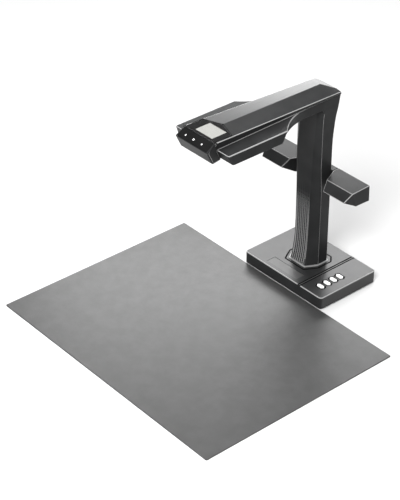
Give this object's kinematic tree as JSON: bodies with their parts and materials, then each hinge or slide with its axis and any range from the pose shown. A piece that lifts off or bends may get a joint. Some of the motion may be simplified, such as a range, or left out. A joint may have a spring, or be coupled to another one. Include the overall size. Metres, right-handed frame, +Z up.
{
  "type": "overhead book scanner",
  "caption": "Overhead book scanner: weighted base with keys, curved column, winged scanning head with a screen, tilting side lights and a dark work mat.",
  "frame": {"origin": "middle of the whole footprint on the table: the mat in front and the base behind it", "axes": "+Z up, the scanner faces -Y over the mat, +X to the right of someone who faces +Y"},
  "size_m": [0.547, 0.5504, 0.38],
  "materials": {
    "shell_graphite": "satin moulded plastic with a fine texture",
    "base_graphite": "satin moulded plastic, brushed look",
    "gloss_black": "polished",
    "key_white": "satin white",
    "screen_grey": "unlit display behind clear glass",
    "lens_glass": "coated, dark",
    "diffuser_white": "opal",
    "badge_grey": "satin, plain",
    "collar_grey": "satin, bright rim",
    "board_green": "solder mask",
    "steel": "bright",
    "socket_metal": "nickel plated",
    "socket_black": "moulded",
    "rubber_black": "matt",
    "mat_black": "soft, fine texture",
    "cable_black": "matt sleeve"
  },
  "bodies": {
    "scanner": {"base_top_cover": "base_graphite", "base_bottom_plate": "shell_graphite", "base_weight": "steel", "badge_plate": "badge_grey", "key_frame": "gloss_black", "key_board": "board_green", "main_board": "board_green", "dc_socket": "socket_black", "usb_socket": "socket_metal", "hdmi_socket": "socket_metal", "power_switch_frame": "socket_black", "foot_collar": "collar_grey", "column_front_cover": "shell_graphite", "column_rear_shell": "shell_graphite", "column_spine": "steel", "arm_lower_housing": "shell_graphite", "arm_upper_shell": "shell_graphite", "arm_frame": "steel", "head_board": "board_green", "lcd_bezel": "gloss_black", "lcd_screen": "screen_grey", "nose_cover": "shell_graphite", "touch_strip": "gloss_black", "camera_barrel": "gloss_black", "camera_lens": "lens_glass", "laser_housing": "socket_black", "laser_window": "lens_glass", "led_diffuser_left": "diffuser_white", "led_diffuser_right": "diffuser_white", "cable_harness": "cable_black", "light_bracket": "shell_graphite", "light_hinge_pin": "steel", "base_screw_1": "steel", "rubber_foot_1": "rubber_black", "base_screw_2": "steel", "rubber_foot_2": "rubber_black", "base_screw_3": "steel", "rubber_foot_3": "rubber_black", "base_screw_4": "steel", "rubber_foot_4": "rubber_black", "spine_bolt_1": "steel", "arm_bolt_1": "steel", "spine_bolt_2": "steel", "arm_bolt_2": "steel", "touch_icon_1": "key_white", "touch_icon_2": "key_white", "touch_icon_3": "key_white"},
    "key_1": {"key_1": "key_white"},
    "key_2": {"key_2": "key_white"},
    "key_3": {"key_3": "key_white"},
    "key_4": {"key_4": "key_white"},
    "power_rocker": {"power_rocker": "gloss_black"},
    "light_left": {"light_left_housing": "shell_graphite", "light_left_diffuser": "diffuser_white", "light_left_board": "board_green"},
    "light_right": {"light_right_housing": "shell_graphite", "light_right_diffuser": "diffuser_white", "light_right_board": "board_green"},
    "work_mat": {"work_mat": "mat_black"}
  },
  "joints": [
    {"name": "key_1_press", "type": "slide", "parent": "scanner", "child": "key_1", "axis": [0, 0, -1], "range_m": [0, 0.0012], "stiffness_N_per_m": 300, "springref_m": -0.001},
    {"name": "key_2_press", "type": "slide", "parent": "scanner", "child": "key_2", "axis": [0, 0, -1], "range_m": [0, 0.0012], "stiffness_N_per_m": 300, "springref_m": -0.001},
    {"name": "key_3_press", "type": "slide", "parent": "scanner", "child": "key_3", "axis": [0, 0, -1], "range_m": [0, 0.0012], "stiffness_N_per_m": 300, "springref_m": -0.001},
    {"name": "key_4_press", "type": "slide", "parent": "scanner", "child": "key_4", "axis": [0, 0, -1], "range_m": [0, 0.0012], "stiffness_N_per_m": 300, "springref_m": -0.001},
    {"name": "power_rocker_tilt", "type": "hinge", "parent": "scanner", "child": "power_rocker", "pos_m": [0.062, 0.27015, 0.01375], "axis": [0, 0, 1], "range_deg": [-14, 0]},
    {"name": "light_left_tilt", "type": "hinge", "parent": "scanner", "child": "light_left", "pos_m": [-0.0438, 0.23765, 0.202], "axis": [1, 0, 0], "range_deg": [-25, 25]},
    {"name": "light_right_tilt", "type": "hinge", "parent": "scanner", "child": "light_right", "pos_m": [0.0232, 0.23765, 0.202], "axis": [1, 0, 0], "range_deg": [-25, 25]},
    {"name": "mat_slide", "type": "slide", "parent": "scanner", "child": "work_mat", "axis": [0, -1, 0], "range_m": [0, 0.15]}
  ]
}
